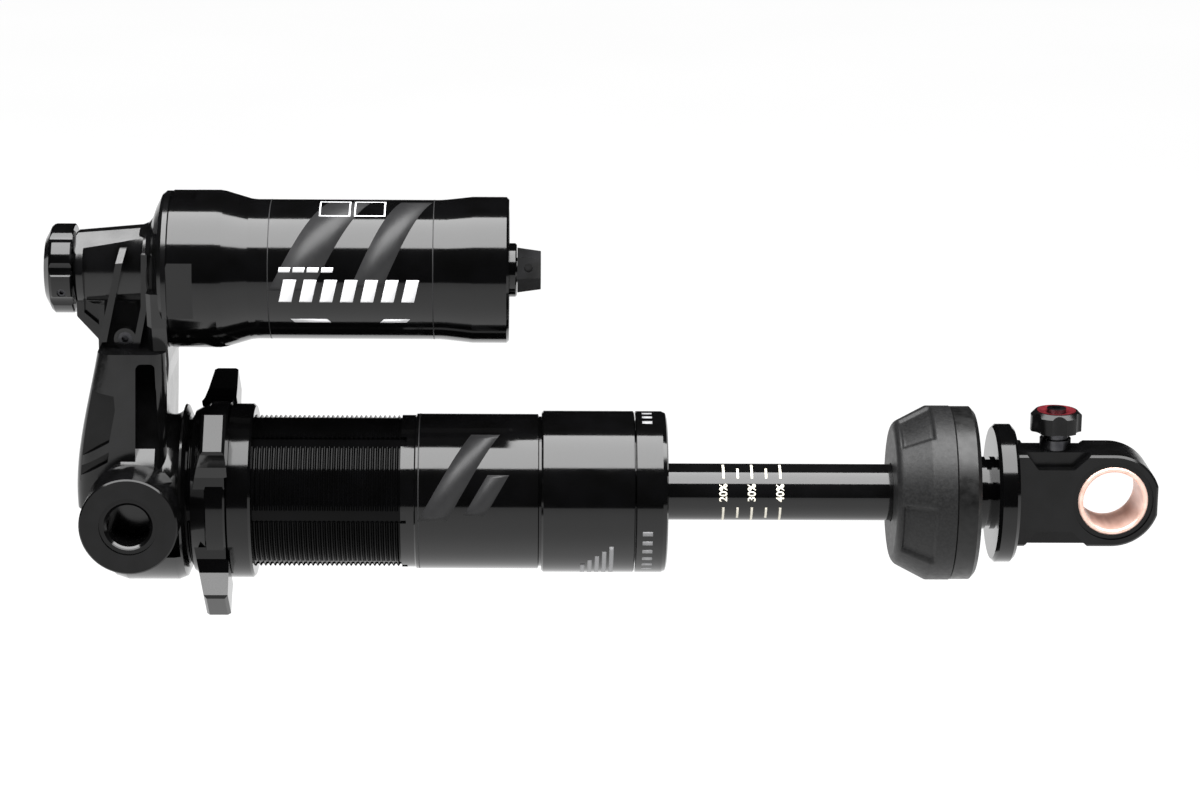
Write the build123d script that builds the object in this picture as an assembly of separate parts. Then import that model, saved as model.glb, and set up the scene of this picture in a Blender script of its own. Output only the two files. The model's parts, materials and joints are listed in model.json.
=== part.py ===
"""Trunnion-mount coil rear shock for a mountain bike, without its coil spring, in millimetres.

The origin is the centre of the lower eyelet's bore. +X runs along the stroke axis away from the damper,
so the damper body lies on -X. Both mounting axes run along Y. The piggyback reservoir lies above the
damper, on +Z. Pieces are drawn at full extension.
"""

from build123d import *
from math import cos, radians, sin
import os

# ---- driving dimensions ----
EYE_TO_EYE = 205.0  # trunnion axis to eyelet axis, fully extended
TRUNNION_X = -EYE_TO_EYE
TRUNNION_WIDTH = 54.0  # over both boss faces
TRUNNION_BORE_R = 4.46  # M10 x 1 tapping size
TRUNNION_DEPTH = 9.5  # threaded wall of each blind hole
RESERVOIR_Z = 48.0  # reservoir axis above the stroke axis
FIT = 0.04  # radial clearance of running fits
PART_GAP = 0.02  # clearance between pieces that are fixed together

# ---- shaft and lower end ----
SHAFT_R = 6.0
SHAFT_BORE_R = 2.6
SHAFT_END_R = 4.6  # threaded end in the eyelet
SHAFT_LEFT = -133.0
SHAFT_RIGHT = -16.5
EYE_R = 10.0
EYE_HALF_WIDTH = 6.35
EYE_FLAT_X = 9.5
EYE_BORE_R = 7.4
PIN_R = 6.35  # half-inch mounting pin
WEB_HALF_WIDTH = 3.7
SEAT_LEFT = -25.1  # face that the spring retainer bears on
SEAT_RIGHT = -20.7
SEAT_R = 14.7
NECK_R = 7.7
NECK_LEFT = -29.6
KNOB_X = -11.9  # rebound knob axis
REBOUND_KNOB_R = 5.4
REBOUND_KNOB_Z = 13.9
REBOUND_KNOB_TOP = 18.2

# ---- bumper ----
BUMPER_LEFT = -46.5
BUMPER_SHOULDER = -39.3  # end of the cone
BUMPER_SPLIT = -34.4  # foam meets its cup
BUMPER_RIGHT = -29.2
BUMPER_R = 18.5
BUMPER_NOSE_R = 15.1
BUMPER_BORE_R = 6.25
CUP_BORE_R = 8.0
RECESS_COUNT = 4
RECESS_ARC = 50.0
RECESS_DEPTH = 1.0
RECESS_START = -10.0

# ---- damper body ----
SEAL_FACE_X = -94.3
CAP_LEFT = -101.0
SLEEVE_LEFT = -120.7
SLEEVE_R = 17.1
PRINT_R = 16.4  # plain stretch of the tube
PRINT_LEFT = -147.2
THREAD_END = -150.0
THREAD_START = -194.3
THREAD_R = 16.0
THREAD_PITCH = 1.0
THREAD_DEPTH = 0.5
TUBE_LEFT = -207.0
TUBE_SEAT_R = 15.0
TUBE_BORE_R = 13.0
GROOVE_COUNT = 6
GROOVE_WIDTH = 2.6
GROOVE_START = 4.0
GROOVE_FLOOR_R = 15.2
SPIGOT_R = 12.9

# ---- preload collar ----
NUT_R = 19.0
NUT_LEFT = -190.3
NUT_RIGHT = -186.1
NUT_BACK = -193.4
EAR_R = 26.9
EAR_COUNT = 4
EAR_RIGHT = -185.5  # face that the coil spring bears on
EAR_START = 48.0
DETENT_ANGLE = 180.0
RING_R = 18.4
RING_RIGHT = -180.9

# ---- head ----
SOCKET_R = 18.8
SOCKET_RIGHT = -194.5
BOSS_R = 10.1
ARM_TOP = 33.2
NECK_HALF_WIDTH = 6.8
BARREL_LEFT = -217.1
BARREL_BORE_R = 5.7
CHAMBER_LEFT = -202.6
CHAMBER_R = 8.0
CAN_LEFT = -197.4
GALLERY_X = -208.8
GALLERY_R = 2.5
BLEED_X = -206.6
BLEED_Z = 35.2

# ---- reservoir ----
CAN_BORE_R = 12.5
CAN_RIGHT = -127.6
CAN_FLARE_R = 16.4
CAN_WAIST_R = 14.5
CAN_LIP_R = 15.2
FLAT_COUNT = 4  # wrench flats beside the head
FLAT_REACH = 15.3
END_CAP_LEFT = -133.0
END_CAP_RIGHT = -128.4
IFP_LEFT = -170.0
IFP_LENGTH = 10.0
VALVE_R = 5.7
VALVE_FACE = -126.0
VALVE_CAP_RIGHT = -121.0

# ---- compression adjuster ----
COMP_KNOB_LEFT = -223.7
COMP_KNOB_RIGHT = -217.4
COMP_KNOB_R = 9.3
NEEDLE_R = 1.6


def bar(x0, x1, outer, inner=0.0, z=0.0):
    """Round bar or ring along X, from x0 to x1."""
    place = Pos(x0, 0, z) * Rot(0, 90, 0)
    ends = (Align.CENTER, Align.CENTER, Align.MIN)
    solid = place * Cylinder(outer, x1 - x0, align=ends)
    if inner:
        solid -= place * Cylinder(inner, x1 - x0, align=ends)
    return solid


def pin_y(x, z, y0, y1, radius):
    """Round pin along Y, from y0 to y1."""
    return Pos(x, (y0 + y1) / 2, z) * Rot(-90, 0, 0) * Cylinder(radius, abs(y1 - y0))


def pin_z(x, z0, z1, radius, y=0.0):
    """Round pin along Z, from z0 to z1."""
    return Pos(x, y, (z0 + z1) / 2) * Cylinder(radius, z1 - z0)


def turned(outline, z=0.0):
    """Solid of revolution about the X direction through height z, from a closed outline of (x, radius)."""
    face = make_face(Plane.XZ * Polyline(*outline, close=True))
    return Pos(0, 0, z) * revolve(face, Axis.X)


def slab(outline, y0, y1):
    """Prism of an (x, z) outline, from y0 to y1."""
    face = make_face(Plane.XZ * Polyline(*outline, close=True))
    return Pos(0, y1, 0) * extrude(face, y1 - y0, dir=(0, -1, 0))


def around_x(solid, angle, z=0.0):
    """Turns a solid about the X direction through height z."""
    return Pos(0, 0, z) * Rot(angle, 0, 0) * Pos(0, 0, -z) * solid


def torus_x(x, ring_r, wire_r, z=0.0):
    """O-ring about the X direction."""
    return Pos(x, 0, z) * Rot(0, 90, 0) * Torus(ring_r, wire_r)


def ring_of_bars(x0, x1, ring_r, hole_r, count, z=0.0):
    """Bars along X, evenly spaced on a circle: the drill for a ring of ports."""
    drills = Part()
    for i in range(count):
        turn = radians(360 * i / count)
        drills += Pos(0, ring_r * sin(turn), ring_r * cos(turn)) * bar(x0, x1, hole_r, z=z)
    return drills


# ---- lower end: pieces fixed to the shaft ----


def shaft():
    edge = 0.6
    body = turned([
        (SHAFT_LEFT, SHAFT_BORE_R), (SHAFT_LEFT, 4.0), (-122.6, 4.0), (-122.6, SHAFT_R - 0.4),
        (-122.2, SHAFT_R), (SEAT_RIGHT, SHAFT_R), (SEAT_RIGHT, SHAFT_END_R),
        (SHAFT_RIGHT - edge, SHAFT_END_R), (SHAFT_RIGHT, SHAFT_END_R - edge), (SHAFT_RIGHT, SHAFT_BORE_R),
    ])
    metering_hole = pin_z(-116.0, -SHAFT_R - 1, SHAFT_R + 1, 1.2)
    return body - metering_hole


def lower_eyelet():
    """Forged eye and block, with a pocket in each long edge and a recess around the bush."""
    root = SEAT_RIGHT + PART_GAP
    eye = pin_y(0, 0, -EYE_HALF_WIDTH, EYE_HALF_WIDTH, EYE_R)
    block = Pos(root / 2, 0, 0) * Box(-root, 2 * EYE_HALF_WIDTH, 2 * EYE_R)
    body = eye + block
    body -= Pos(EYE_FLAT_X + 5, 0, 0) * Box(10, 40, 40)
    body = chamfer(body.faces().sort_by(Axis.Y)[0].edges(), 0.45)
    body = chamfer(body.faces().sort_by(Axis.Y)[-1].edges(), 0.45)
    pocket = [(-19.3, EYE_R + 1), (-16.1, 6.8), (-8.4, 6.8), (-4.0, EYE_R + 1)]
    for side in (-1, 1):
        y = sorted((side * WEB_HALF_WIDTH, side * (EYE_HALF_WIDTH + 1)))
        for up in (-1, 1):
            cut = slab([(x, up * z) for x, z in pocket], *y)
            body -= fillet(cut.edges().filter_by(Axis.Y), 0.6)
        body -= pin_y(0, 0, side * (EYE_HALF_WIDTH - 0.5), side * (EYE_HALF_WIDTH + 1), EYE_BORE_R + 1.1)
    body -= pin_y(0, 0, -20, 20, EYE_BORE_R)
    body -= bar(root - 1, SHAFT_RIGHT + 0.5, SHAFT_END_R + PART_GAP)
    body -= bar(SHAFT_RIGHT - 1, KNOB_X + 1.7, 2.3)
    body -= pin_z(KNOB_X, -3.0, EYE_R + 1, 1.7)
    return body


def eyelet_bush():
    bush = pin_y(0, 0, -EYE_HALF_WIDTH, EYE_HALF_WIDTH, EYE_BORE_R - PART_GAP)
    bush -= pin_y(0, 0, -20, 20, PIN_R)
    return chamfer(bush.edges().filter_by(GeomType.CIRCLE), 0.25)


def retainer_seat():
    """Turned flange and neck that carry the spring retainer."""
    edge = 0.7
    return turned([
        (NECK_LEFT, SHAFT_R + PART_GAP), (NECK_LEFT, NECK_R - 0.5), (NECK_LEFT + 0.5, NECK_R),
        (SEAT_LEFT - 1.6, NECK_R), (SEAT_LEFT - 1.6, NECK_R - 0.6), (SEAT_LEFT - 0.6, NECK_R - 0.6),
        (SEAT_LEFT - 0.6, NECK_R), (SEAT_LEFT, NECK_R),
        (SEAT_LEFT, SEAT_R - edge), (SEAT_LEFT + edge, SEAT_R),
        (SEAT_RIGHT - edge, SEAT_R), (SEAT_RIGHT, SEAT_R - edge),
        (SEAT_RIGHT, SHAFT_R + PART_GAP),
    ])


def rebound_bushing():
    """Collar screwed into the eyelet's web, which the knob stem turns in."""
    collar = pin_z(KNOB_X, EYE_R + PART_GAP, 12.2, 3.3) + pin_z(KNOB_X, 12.0, 13.6, 2.7)
    return collar - pin_z(KNOB_X, EYE_R - 1, 15, 1.7)


# ---- rebound knob and rod ----


def rebound_knob():
    body = pin_z(KNOB_X, REBOUND_KNOB_Z, REBOUND_KNOB_TOP, REBOUND_KNOB_R)
    body = chamfer(body.edges().group_by(Axis.Z)[-1], 0.9)
    lobes = 6
    for i in range(lobes):
        turn = radians(360 * (i + 0.5) / lobes)
        x = KNOB_X + 7.3 * cos(turn)
        body -= pin_z(x, 10, 20, 2.6, y=7.3 * sin(turn))
    body -= pin_z(KNOB_X, REBOUND_KNOB_TOP - 1.0, REBOUND_KNOB_TOP + 1, 4.1)
    body -= pin_z(KNOB_X, 12, 20, 1.5)
    return body


def rebound_knob_ring():
    """Coloured disc let into the top of the knob."""
    top = REBOUND_KNOB_TOP
    foot = top - 1.0 + PART_GAP
    outline = [(2.1, foot), (4.08, foot), (4.08, top + 0.1), (2.1, top - 0.35)]
    face = make_face(Plane.XZ * Polyline(*outline, close=True))
    return Pos(KNOB_X, 0, 0) * revolve(face, Axis.Z)


def rebound_knob_screw():
    top = REBOUND_KNOB_TOP
    head = pin_z(KNOB_X, top - 1.0 + PART_GAP, top + 0.55, 2.05)
    socket = Pos(KNOB_X, 0, top - 0.1) * extrude(RegularPolygon(1.0, 6), 1.0)
    shank = pin_z(KNOB_X, top - 3.2, top - 0.9, 1.0)
    return head + shank - socket


def rebound_spindle():
    """Stem from the knob down to an eccentric that pushes the rod."""
    stem = pin_z(KNOB_X, 1.6, REBOUND_KNOB_TOP - 1.2, 1.5 - PART_GAP)
    stem -= pin_z(KNOB_X, REBOUND_KNOB_TOP - 3.4, REBOUND_KNOB_TOP, 1.0 + PART_GAP)
    eccentric = pin_z(KNOB_X + 0.25, -1.8, 1.65, 1.15)
    return stem + eccentric


def rebound_rod():
    """Rod inside the shaft, with the metering needle on its damper end."""
    return turned([
        (-122.0, 0), (-116.5, 1.3), (-114.0, 2.2), (-110.0, 2.2), (-110.0, 2.0),
        (-14.0, 2.0), (-13.3, 1.4), (-13.3, 0),
    ])


# ---- piston, on the shaft ----


def piston():
    body = bar(-131.0, -125.0, 12.5, 4.0 + PART_GAP)
    body -= bar(-130.4, -125.6, 14.0, 11.9)
    body -= ring_of_bars(-132, -124, 8.6, 1.5, 6)
    return body


def piston_shims(x0, step):
    """Stack of thin steel discs, smaller towards its free end."""
    thick = 0.3
    discs = Part()
    for i, radius in enumerate((10.2, 9.2, 8.2, 7.2)):
        start = x0 + step * i * (thick + 0.02)
        low, high = sorted((start, start + step * thick))
        discs += bar(low, high, radius, 4.0 + PART_GAP)
    return discs


def piston_nut():
    nut = extrude(RegularPolygon(5.6, 6), 0.98)
    nut = Pos(-133.5, 0, 0) * Rot(0, 90, 0) * nut
    return nut - bar(-134, -131, 4.0 + PART_GAP)


def piston_band():
    """Split glide ring between the piston and the tube."""
    ring = bar(-130.3, -125.7, TUBE_BORE_R - FIT, 11.9 + FIT)
    return ring - Pos(-128, 0, 12.5) * Rot(0, 0, 30) * Box(10, 0.6, 3)


# ---- bumper ----


def bumper():
    """Foam cone with shallow recesses around its nose."""
    nose = 2.6
    nose_top = BUMPER_NOSE_R + 0.9
    rounding = []
    for i in range(6):
        turn = radians(90 * i / 5)
        rounding.append((BUMPER_LEFT + nose * (1 - cos(turn)), nose_top - nose * (1 - sin(turn))))
    slope = (BUMPER_R - nose_top) / (BUMPER_SHOULDER - BUMPER_LEFT - nose)
    foam = turned([
        (BUMPER_LEFT, BUMPER_BORE_R), *rounding,
        (BUMPER_SHOULDER, BUMPER_R), (BUMPER_SPLIT, BUMPER_R), (BUMPER_SPLIT, BUMPER_BORE_R),
    ])
    cut_left = BUMPER_LEFT - 0.5
    floor_right = BUMPER_R - RECESS_DEPTH
    floor_left = floor_right - slope * (BUMPER_SHOULDER - cut_left)
    cutter = make_face(Plane.XZ * Polyline(
        (cut_left, floor_left), (BUMPER_SHOULDER, floor_right),
        (BUMPER_SHOULDER, BUMPER_R + 2), (cut_left, BUMPER_R + 2), close=True,
    ))
    for i in range(RECESS_COUNT):
        wedge = revolve(cutter, Axis.X, RECESS_ARC)
        foam -= around_x(wedge, RECESS_START + 360 * i / RECESS_COUNT)
    return foam


def bumper_cup():
    edge = 0.9
    left = BUMPER_SPLIT + PART_GAP
    return turned([
        (left, CUP_BORE_R), (left, BUMPER_R - 0.35), (left + 0.3, BUMPER_R - 0.1),
        (BUMPER_RIGHT - edge, BUMPER_R - 0.1), (BUMPER_RIGHT, BUMPER_R - edge - 0.2),
        (BUMPER_RIGHT, CUP_BORE_R),
    ])


# ---- damper body ----


def damper_tube():
    """Tube with a screw thread for the collar, shown as rings, and six lengthwise detent grooves."""
    outline = [(TUBE_LEFT, TUBE_BORE_R), (TUBE_LEFT, TUBE_SEAT_R), (THREAD_START, TUBE_SEAT_R)]
    x = THREAD_START
    while x < THREAD_END - THREAD_PITCH / 2:
        outline += [
            (x + 0.12, THREAD_R - THREAD_DEPTH), (x + 0.46, THREAD_R),
            (x + 0.56, THREAD_R), (x + 0.90, THREAD_R - THREAD_DEPTH),
        ]
        x += THREAD_PITCH
    sleeve_seat = 15.1
    outline += [
        (THREAD_END, THREAD_R - THREAD_DEPTH), (THREAD_END, THREAD_R + 0.1),
        (PRINT_LEFT, THREAD_R + 0.1), (PRINT_LEFT + 0.3, PRINT_R),
        (SLEEVE_LEFT - 0.7, PRINT_R), (SLEEVE_LEFT - 0.5, PRINT_R - 0.5),
        (SLEEVE_LEFT, PRINT_R - 0.5), (SLEEVE_LEFT, sleeve_seat),
        (CAP_LEFT - PART_GAP, sleeve_seat), (CAP_LEFT - PART_GAP, TUBE_BORE_R),
    ]
    tube = turned(outline)
    groove_end = THREAD_END + 1.2
    length = groove_end - THREAD_START
    depth = THREAD_R + 1 - GROOVE_FLOOR_R
    centre = Pos(THREAD_START + length / 2, -(GROOVE_FLOOR_R + depth / 2), 0)
    cutter = centre * Box(length, depth, GROOVE_WIDTH)
    for i in range(GROOVE_COUNT):
        tube -= around_x(cutter, GROOVE_START + 360 * i / GROOVE_COUNT)
    return tube


def lower_sleeve():
    left = SLEEVE_LEFT + PART_GAP
    return turned([
        (left, 15.1 + PART_GAP), (left, SLEEVE_R - 0.4), (left + 0.4, SLEEVE_R),
        (CAP_LEFT - 0.35, SLEEVE_R), (CAP_LEFT - 0.2, SLEEVE_R - 0.2), (CAP_LEFT - 0.2, 15.1 + PART_GAP),
    ])


def seal_head():
    """End cap that carries the shaft's bush, seal and wiper."""
    edge = 1.1
    cap = turned([
        (-112.0, 8.0), (-112.0, SPIGOT_R), (-107.2, SPIGOT_R), (-107.2, 11.2), (-104.8, 11.2),
        (-104.8, SPIGOT_R), (CAP_LEFT + PART_GAP, SPIGOT_R),
        (CAP_LEFT + PART_GAP, SLEEVE_R - 0.2), (CAP_LEFT + 0.2, SLEEVE_R),
        (SEAL_FACE_X - edge, SLEEVE_R), (SEAL_FACE_X - 0.3, SLEEVE_R - 0.35),
        (SEAL_FACE_X, SLEEVE_R - edge), (SEAL_FACE_X, 9.0),
        (-97.4, 9.0), (-97.4, 7.0), (-98.2, 7.0), (-98.2, 8.6), (-101.6, 8.6), (-101.6, 7.0),
        (-102.2, 7.0), (-102.2, 8.0),
    ])
    return cap


def shaft_bush():
    return bar(-111.8, -102.3, 8.0 - PART_GAP, SHAFT_R + FIT)


def shaft_seal():
    left, right = -101.5, -98.3
    return turned([
        (left, SHAFT_R + FIT), (left, 8.55), (right, 8.55), (right, 7.4), (right - 1.2, 7.2),
        (right - 0.8, SHAFT_R + FIT),
    ])


def dust_wiper():
    face = SEAL_FACE_X
    return turned([
        (-97.3, SHAFT_R + FIT), (-97.3, 8.95), (face - 0.5, 8.95), (face - 0.5, 7.6),
        (face + 0.25, 6.7), (face + 0.4, SHAFT_R + FIT),
    ])


def seal_head_oring():
    return torus_x(-106.0, 12.05, 0.8)


def top_out_spring():
    """Short coil that softens full extension, between the piston and the seal head."""
    coil_r, wire_r, pitch, height = 8.6, 0.8, 2.4, 7.2
    path = Helix(pitch, height, coil_r)
    start = Plane(origin=path @ 0, z_dir=path % 0)
    coil = sweep(start * Circle(wire_r), path, is_frenet=True)
    return Pos(-121.2, 0, 0) * Rot(0, 90, 0) * coil


# ---- preload collar and thrust ring ----


def preload_nut():
    """Threaded collar with four finger ears."""
    bore = THREAD_R + FIT
    nut = turned([
        (NUT_BACK, bore), (NUT_BACK, 17.0), (NUT_LEFT, NUT_R - 0.3), (NUT_LEFT + 0.3, NUT_R),
        (NUT_RIGHT - 0.4, NUT_R), (NUT_RIGHT, NUT_R - 0.4), (NUT_RIGHT, bore),
    ])
    side = slab([
        (-192.6, 17.0), (-190.5, EAR_R - 0.6), (-189.9, EAR_R),
        (EAR_RIGHT - 0.6, EAR_R), (EAR_RIGHT, EAR_R - 0.6),
        (EAR_RIGHT, RING_R + 0.6), (NUT_RIGHT, RING_R + 0.4), (NUT_RIGHT, 17.0),
    ], -9, 9)
    profile = make_face(Plane.YZ * Polyline(
        (-8.4, 16.6), (-6.2, 18.8), (-5.2, 21.5), (-4.7, EAR_R - 0.6), (-4.1, EAR_R + 0.1),
        (4.1, EAR_R + 0.1), (4.7, EAR_R - 0.6), (5.2, 21.5), (6.2, 18.8), (8.4, 16.6), close=True,
    ))
    ear = side & (Pos(-200, 0, 0) * extrude(profile, 30, dir=(1, 0, 0)))
    for i in range(EAR_COUNT):
        nut += around_x(ear, EAR_START + 360 * i / EAR_COUNT)
    nut -= around_x(pin_z(-188.2, 15.0, 20, 1.05), DETENT_ANGLE)
    return nut


def collar_detent_ball():
    return around_x(Pos(-188.2, 0, 17.12) * Sphere(1.0), DETENT_ANGLE)


def collar_detent_screw():
    screw = pin_z(-188.2, 18.15, 18.95, 1.0) - Pos(-188.2, 0, 18.6) * extrude(RegularPolygon(0.55, 6), 1)
    return around_x(screw, DETENT_ANGLE)


def spring_ring():
    """Thrust ring that centres the coil spring and keeps it from turning with the collar."""
    bore = THREAD_R + FIT
    left = NUT_RIGHT + 0.1
    return turned([
        (left, bore), (left, RING_R - 0.3), (left + 0.3, RING_R), (RING_RIGHT - 0.5, RING_R),
        (RING_RIGHT, RING_R - 0.5), (RING_RIGHT, bore),
    ])


# ---- head ----


def head_arm():
    """Arm that rises from the trunnion housing, lofted through rounded sections."""
    sections = []
    for z, left, right, width, corner in (
        (0.0, -217.0, -198.5, 32.4, 5.0),
        (9.0, -216.8, -198.4, 31.2, 4.5),
        (20.0, -214.9, -198.1, 30.6, 3.5),
        (ARM_TOP, -212.0, -198.0, 30.2, 3.0),
    ):
        centre = Pos((left + right) / 2, 0, z)
        sections.append(centre * RectangleRounded(right - left, width, corner))
    return loft(sections)


def arm_flute(side):
    """Lengthwise pocket in one face of the arm, deeper towards its top."""
    start, half_width, slant = 12.0, 14.0, 19.0
    flute = slab([
        (-204.0, 17.8), (-200.0, 17.8), (-199.5, -6.0), (-204.6, -6.0),
    ], *sorted((0, side * 30)))
    flute = fillet(flute.edges().filter_by(Axis.Y), 1.2)
    return Pos(0, side * half_width, start) * Rot(side * slant, 0, 0) * flute


def arm_panel(side):
    """Wide shallow pocket along the arm's outer edge, with a slanted slot below it."""
    y = sorted((side * 13.9, side * 30))
    panel = slab([
        (-221.0, 27.4), (-213.4, 25.6), (-208.6, 24.4), (-208.4, 21.5), (-209.8, 14.6), (-221.0, 8.6),
    ], *y)
    return panel + slab([(-221.0, 6.6), (-209.8, 12.6), (-210.2, 10.4), (-221.0, 4.6)], *y)


def head_neck():
    """Narrow neck between the arm and the barrel, with sloping faces."""
    foot, crease = 9.0, RESERVOIR_Z - 5.4
    outline = make_face(Plane.YZ * Polyline(
        (-foot, ARM_TOP - 2), (foot, ARM_TOP - 2), (NECK_HALF_WIDTH, crease), (NECK_HALF_WIDTH, RESERVOIR_Z),
        (-NECK_HALF_WIDTH, RESERVOIR_Z), (-NECK_HALF_WIDTH, crease), close=True,
    ))
    left, right = -211.0, -198.6
    return Pos(right, 0, 0) * extrude(outline, right - left, dir=(-1, 0, 0))


def port_plate():
    """Plate behind the reservoir's flange, which narrows down to the arm."""
    left, right = -201.6, CAN_LEFT - PART_GAP
    outline = make_face(Plane.YZ * Polyline(
        (-15.6, 46.0), (-13.9, 38.5), (-10.8, 31.0), (-9.6, 24.0), (-9.0, 16.0),
        (9.0, 16.0), (9.6, 24.0), (10.8, 31.0), (13.9, 38.5), (15.6, 46.0), close=True,
    ))
    plate = Pos(right, 0, 0) * extrude(outline, right - left, dir=(-1, 0, 0))
    slope = slab([(-205.0, 10.0), (-199.4, 10.0), (-197.6, 30.0), (-197.6, 50.0), (-205.0, 50.0)], -20, 20)
    return chamfer(plate.edges().group_by(Axis.X)[0].filter_by(Axis.Y, reverse=True), 1.0) & slope


def barrel_frame(side):
    """Two slanted ribs that run from the barrel down to one face of the arm."""
    left = [(-207.6, 53.6), (-206.2, 53.6), (-208.0, 45.4), (-210.4, 34.6), (-212.0, 34.6), (-209.4, 45.4)]
    right = [(-202.9, 53.0), (-201.7, 53.0), (-201.9, 42.0), (-204.0, 32.0), (-205.4, 32.0), (-203.2, 42.0)]
    y = sorted((side * 4.0, side * 9.9))
    return slab(left, *y) + slab(right, *y)


def barrel_facet(side):
    """Flat along the barrel's upper edge."""
    height, taper, facet_angle = 7.35, 5.0, 34
    block = Pos(6.6, 0, 5) * Box(13.6, 24, 10)
    facet = Pos(BARREL_LEFT, 0, RESERVOIR_Z + height) * Rot(0, -taper, 0) * block
    return around_x(facet, -side * facet_angle, RESERVOIR_Z)


def barrel_window(side):
    """Recess in the barrel's side, with a gently rounded floor."""
    floor_r, floor_y = 14.0, 6.5
    left, right = -215.2, -202.8
    block = Pos((left + right) / 2, side * 15, RESERVOIR_Z + 1.3) * Box(right - left, 30, 13.4)
    return block - bar(left - 1, right + 1, floor_r).moved(Pos(0, side * (floor_y - floor_r), RESERVOIR_Z))


def trunnion_hole(side):
    """Blind threaded hole in one boss, with a spot face and a countersink."""
    face = side * TRUNNION_WIDTH / 2
    spot_depth, spot_r, sink = 0.45, 6.0, 0.6
    hole = pin_y(TRUNNION_X, 0, face - side * spot_depth, face + side, spot_r)
    hole += pin_y(TRUNNION_X, 0, face - side * (spot_depth + TRUNNION_DEPTH), face, TRUNNION_BORE_R)
    place = Pos(TRUNNION_X, face - side * (spot_depth + sink / 2), 0) * Rot(-90 * side, 0, 0)
    return hole + place * Cone(TRUNNION_BORE_R, TRUNNION_BORE_R + sink, sink + PART_GAP)


def damper_head():
    """Forged head: trunnion housing, arm, reservoir port and compression barrel in one piece."""
    socket = turned([
        (-216.2, 0), (-216.2, 7.0), (-215.0, 12.0), (-213.0, 15.6), (-210.0, 18.0), (-207.5, SOCKET_R),
        (SOCKET_RIGHT - 2.4, SOCKET_R), (SOCKET_RIGHT - 0.7, SOCKET_R - 0.7),
        (SOCKET_RIGHT, SOCKET_R - 2.4), (SOCKET_RIGHT, 0),
    ])
    relief = torus_x(-198.1, SOCKET_R - 0.2, 2.5) & (Pos(-198, 0, 15) * Box(8, 50, 50))
    socket -= relief
    half = TRUNNION_WIDTH / 2
    boss = pin_y(TRUNNION_X, 0, -half, half, BOSS_R)
    boss = chamfer(boss.edges().filter_by(GeomType.CIRCLE), 0.3)
    barrel = turned([
        (BARREL_LEFT, 0), (BARREL_LEFT, 7.6), (BARREL_LEFT + 0.5, 8.0), (-203.4, 9.2), (-202.2, 9.7),
        (-201.3, 10.8), (-200.4, 13.2), (-199.2, 15.6), (-198.4, 16.2), (CAN_LEFT - PART_GAP, 16.2),
        (CAN_LEFT - PART_GAP, CAN_BORE_R - 0.1), (-193.6, CAN_BORE_R - 0.1), (-193.6, 0),
    ], RESERVOIR_Z)
    gusset = slab([
        (-216.9, 46.0), (-216.9, 39.0), (-212.6, 34.2), (-212.6, 30.0), (-205.0, 30.0), (-205.0, 46.0),
    ], -5.4, 5.4)
    gusset = fillet(gusset.edges().filter_by(Axis.Y), 0.8)
    hollow = slab([(-215.4, 43.0), (-215.4, 39.8), (-212.4, 37.2), (-212.4, 41.0)], -12, -4.0)
    hollow += mirror(hollow, Plane.XZ)
    arm = head_arm() - arm_flute(-1) - arm_flute(1)
    body = socket + boss + arm + head_neck() + port_plate()
    for side in (-1, 1):
        body -= arm_panel(side)
    body += barrel + gusset - hollow
    for side in (-1, 1):
        body -= barrel_window(side)
        body += barrel_frame(side)
        body -= barrel_facet(side)
        body -= trunnion_hole(side)
    body += pin_y(BLEED_X, BLEED_Z, -9.6, -6.0, 2.3)

    body -= bar(SOCKET_RIGHT, -190.0, SOCKET_R + 6)
    body -= bar(TUBE_LEFT - PART_GAP, SOCKET_RIGHT + 1, TUBE_SEAT_R + PART_GAP)
    body -= bar(-213.0, TUBE_LEFT + 1, 9.0)
    body -= pin_z(GALLERY_X, 0, RESERVOIR_Z, GALLERY_R)
    body -= bar(BARREL_LEFT - 1, CHAMBER_LEFT, BARREL_BORE_R, z=RESERVOIR_Z)
    body -= bar(CHAMBER_LEFT - 0.5, -190, CHAMBER_R, z=RESERVOIR_Z)
    body -= bar(-196.4, -194.4, 14, 11.2, z=RESERVOIR_Z)
    body -= pin_y(BLEED_X, BLEED_Z, -12, -1, 1.5)
    return body


def bleed_screw():
    body = pin_y(BLEED_X, BLEED_Z, -9.5, -4.0, 1.5 - PART_GAP)
    return body - Pos(BLEED_X, -8.4, BLEED_Z) * Rot(90, 0, 0) * extrude(RegularPolygon(0.8, 6), 2)


def can_oring():
    return torus_x(-195.4, 11.75, 0.55, RESERVOIR_Z)


def reservoir_can():
    """Turned can, wider at both ends, with wrench flats beside the head."""
    can = turned([
        (CAN_LEFT, CAN_BORE_R), (CAN_LEFT, CAN_FLARE_R - 0.3), (CAN_LEFT + 0.3, CAN_FLARE_R),
        (-187.4, CAN_FLARE_R), (-186.2, CAN_FLARE_R - 0.2),
        (-181.0, CAN_WAIST_R + 0.15), (-179.6, CAN_WAIST_R),
        (-142.0, CAN_WAIST_R), (-140.6, CAN_WAIST_R + 0.1), (-135.2, CAN_LIP_R), (CAN_RIGHT - 0.5, CAN_LIP_R),
        (CAN_RIGHT, CAN_LIP_R - 0.5), (CAN_RIGHT, CAN_BORE_R + 0.4), (CAN_RIGHT - 0.5, CAN_BORE_R),
    ], RESERVOIR_Z)
    can -= bar(-128.35, -127.95, CAN_BORE_R + 0.6, 5, z=RESERVOIR_Z)
    for i in range(FLAT_COUNT):
        flat = Pos(-194.7, 0, RESERVOIR_Z + FLAT_REACH + 2) * Box(5.4, 30, 4)
        can -= around_x(flat, 5 + 360 * i / FLAT_COUNT, RESERVOIR_Z)
    return can


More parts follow.
